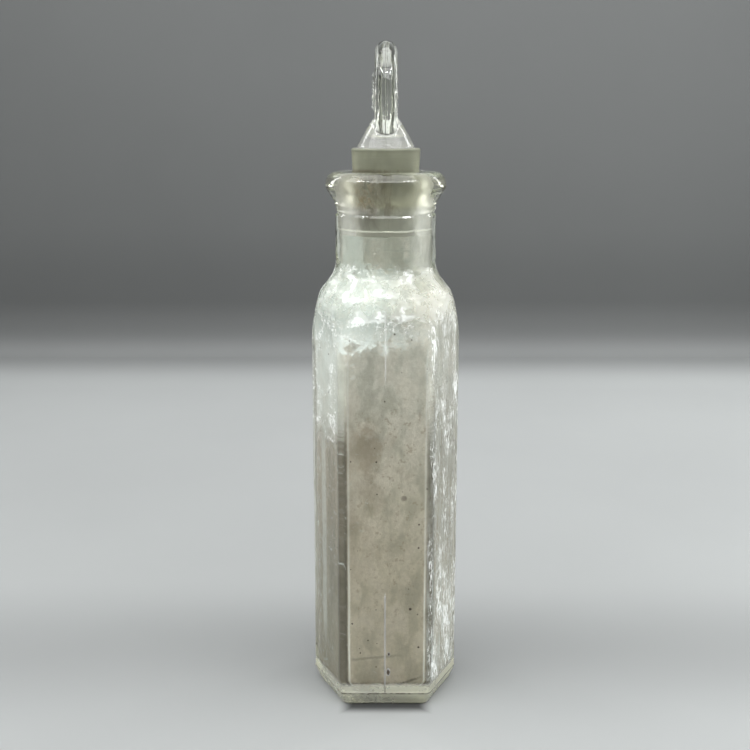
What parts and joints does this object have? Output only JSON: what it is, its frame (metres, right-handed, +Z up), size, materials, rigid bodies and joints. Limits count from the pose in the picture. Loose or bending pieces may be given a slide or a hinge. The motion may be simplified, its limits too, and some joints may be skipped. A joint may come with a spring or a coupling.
{
  "type": "dropper bottle",
  "caption": "Six-sided clear glass dropper bottle with round neck, rolled lip and a flat-headed ground glass stopper that lifts out.",
  "frame": {"origin": "centre of the foot, on the surface the bottle stands on", "axes": "+Z up along the neck; -Y out of the broad front face; +X out of an upright edge; the stopper's flat head stands in the YZ plane"},
  "size_m": [0.0358, 0.0314, 0.1577],
  "materials": {
    "bottle_glass": "clear moulded, hazed inside",
    "stopper_glass": "clear pressed, plug ground matt"
  },
  "bodies": {
    "bottle": {"bottle": "bottle_glass"},
    "stopper": {"stopper": "stopper_glass"}
  },
  "joints": [
    {"name": "stopper_lift", "type": "slide", "parent": "bottle", "child": "stopper", "axis": [0, 0, 1], "range_m": [0, 0.04]}
  ]
}
